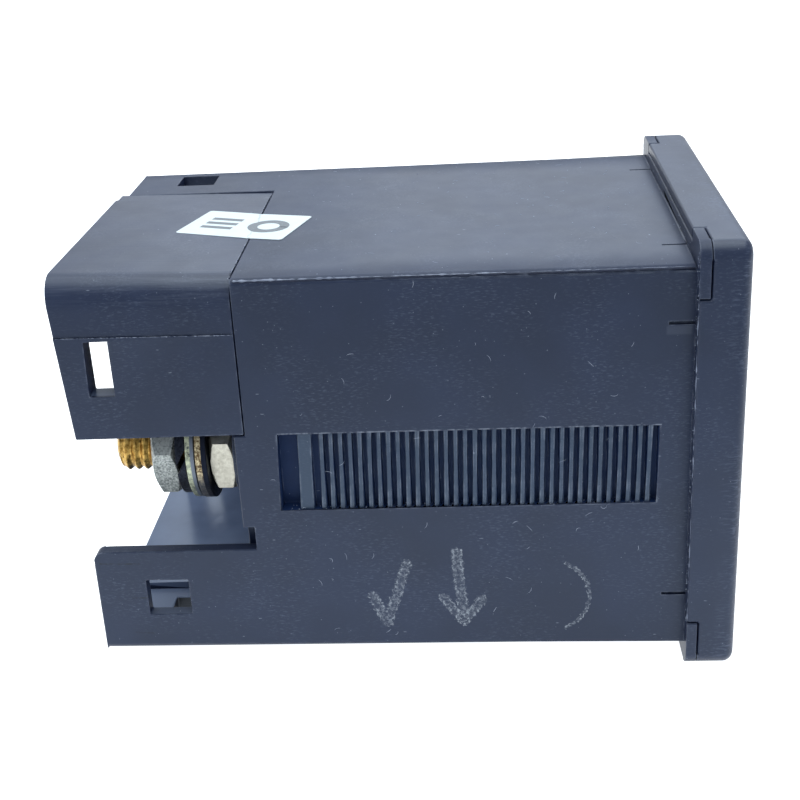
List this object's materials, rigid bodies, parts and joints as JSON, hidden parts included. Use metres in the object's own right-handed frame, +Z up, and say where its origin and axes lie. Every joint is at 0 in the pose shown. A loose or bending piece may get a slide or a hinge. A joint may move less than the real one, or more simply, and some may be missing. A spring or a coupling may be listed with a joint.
{
  "type": "panel ammeter",
  "caption": "Square panel ammeter: a moulded case with ribbed clamp tracks along its sides, a quarter-circle dial behind the bezel and screw terminals under clip-on covers.",
  "frame": {"origin": "centre of the panel seat, the plane just behind the bezel", "axes": "+Y runs back through the panel, -Y faces the reader, +Z is up on the dial"},
  "size_m": [0.048, 0.0701, 0.048],
  "materials": {
    "case_plastic": "dark moulded thermoplastic with a satin skin",
    "clear_pane": "clear flat pane",
    "stud_brass": "tarnished brass",
    "zinc_steel": "dull zinc plate",
    "rusty_steel": "plated steel with rust",
    "dark_steel": "blackened spring steel",
    "dial_enamel": "white enamel with a black scale",
    "frame_plastic": "black moulding",
    "bobbin_plastic": "natural moulding",
    "coil_copper": "enamelled copper wire",
    "tinned_copper": "tinned copper",
    "soft_iron": "annealed sheet iron",
    "cup_plastic": "translucent moulding",
    "movement_brass": "turned brass",
    "adjuster_plastic": "black moulding",
    "lever_brass": "nickel-plated strip",
    "spring_bronze": "rolled bronze strip",
    "spindle_steel": "polished steel",
    "pointer_black": "black lacquer",
    "disc_aluminium": "bright sheet"
  },
  "bodies": {
    "case": {"housing": "case_plastic", "bezel": "case_plastic", "window": "clear_pane", "terminal_cover_upper": "case_plastic", "terminal_cover_lower": "case_plastic", "terminal_bolt_left": "stud_brass", "terminal_bolt_right": "stud_brass", "base_nuts": "zinc_steel", "base_washers": "rusty_steel", "lug_washers": "zinc_steel", "spring_washers": "dark_steel", "lug_nuts": "zinc_steel", "dial_plate": "dial_enamel", "dial_screws": "zinc_steel", "movement_frame": "frame_plastic", "movement_screws": "zinc_steel", "front_bridge": "movement_brass", "bridge_screws": "zinc_steel", "coil_bobbin": "bobbin_plastic", "field_coil": "coil_copper", "coil_eyelets": "tinned_copper", "fixed_iron": "soft_iron", "damping_cup": "cup_plastic", "front_bearing": "movement_brass", "rear_bearing": "movement_brass"},
    "pointer_unit": {"spindle": "spindle_steel", "moving_iron": "soft_iron", "pointer": "pointer_black", "balance_weights": "movement_brass", "damping_disc": "disc_aluminium", "spring_collet": "movement_brass"},
    "zero_screw": {"zero_screw": "adjuster_plastic"},
    "zero_lever": {"zero_lever": "lever_brass", "hairspring": "spring_bronze"}
  },
  "joints": [
    {"name": "pointer_swing", "type": "hinge", "parent": "case", "child": "pointer_unit", "pos_m": [0.01355, 0, -0.0126], "axis": [0, 1, 0], "range_deg": [0, 90], "stiffness_Nm_per_rad": 0.00005, "deforming": ["hairspring"]},
    {"name": "zero_screw_turn", "type": "hinge", "parent": "case", "child": "zero_screw", "pos_m": [0.01709, 0, -0.01614], "axis": [0, 1, 0], "range_deg": [-40, 40]},
    {"name": "zero_lever_swing", "type": "hinge", "parent": "case", "child": "zero_lever", "pos_m": [0.01355, 0, -0.0126], "axis": [0, 1, 0], "range_deg": [-5.52, 5.52]}
  ],
  "couplings": [
    {"joint": "zero_lever_swing", "follows": "zero_screw_turn", "ratio": 0.13793}
  ]
}
